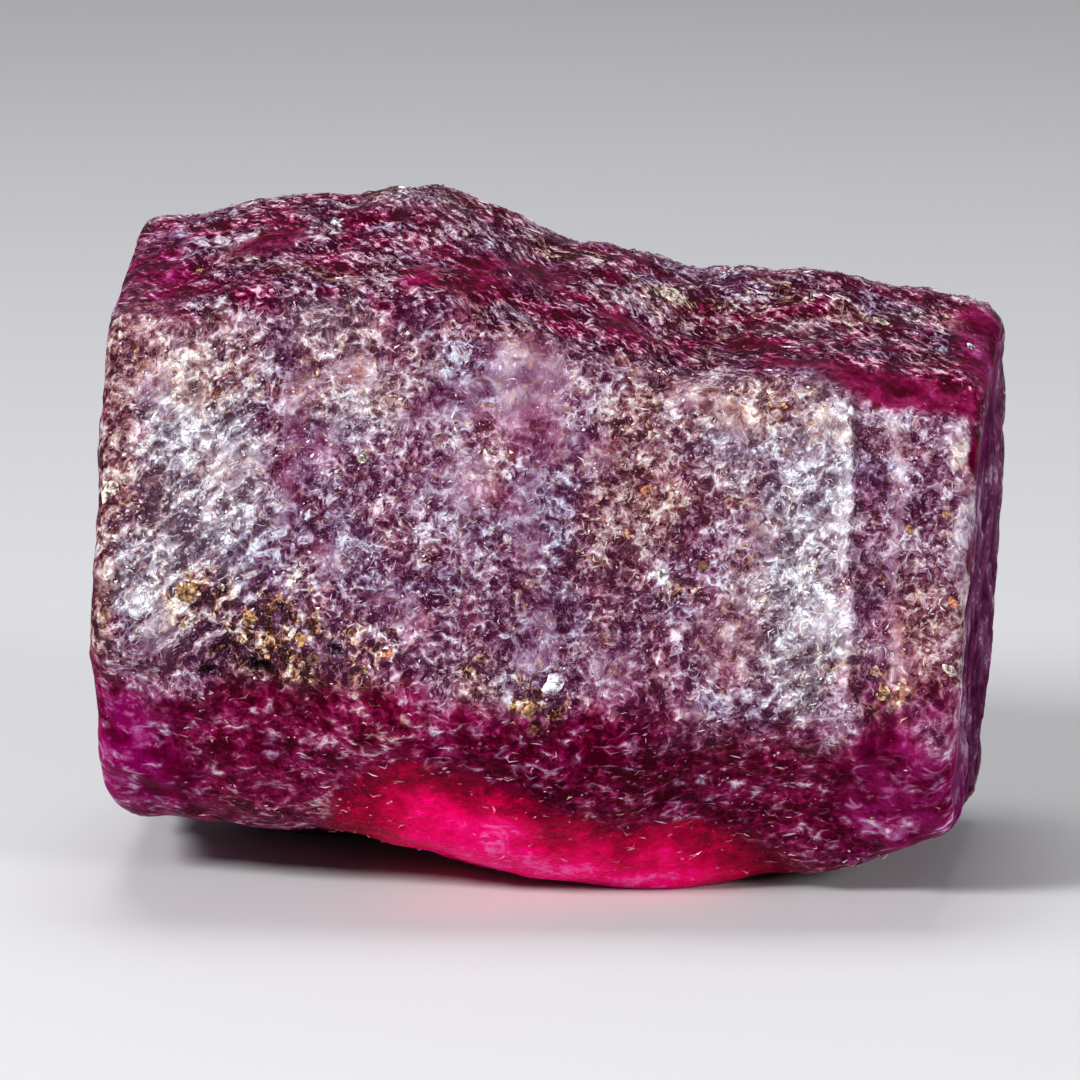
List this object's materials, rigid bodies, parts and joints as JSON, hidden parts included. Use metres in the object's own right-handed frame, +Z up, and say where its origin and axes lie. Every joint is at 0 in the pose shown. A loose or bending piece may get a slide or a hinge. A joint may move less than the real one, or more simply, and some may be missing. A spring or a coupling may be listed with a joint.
{
  "type": "raw ruby crystal",
  "caption": "Raw ruby crystal: a stubby, tapering six-sided barrel lying on a prism side, with flat ends and an etched, needle-textured skin.",
  "frame": {"origin": "middle of the bounding box's base, on the surface that the crystal rests on", "axes": "+X along the barrel's length, towards its narrower and lower end; +Z up; -Y towards the front"},
  "size_m": [0.0218, 0.0164, 0.0163],
  "materials": {
    "ruby": "translucent purplish red, with a waxy, finely etched skin"
  },
  "bodies": {
    "root": {"ruby_crystal": "ruby"}
  },
  "joints": []
}
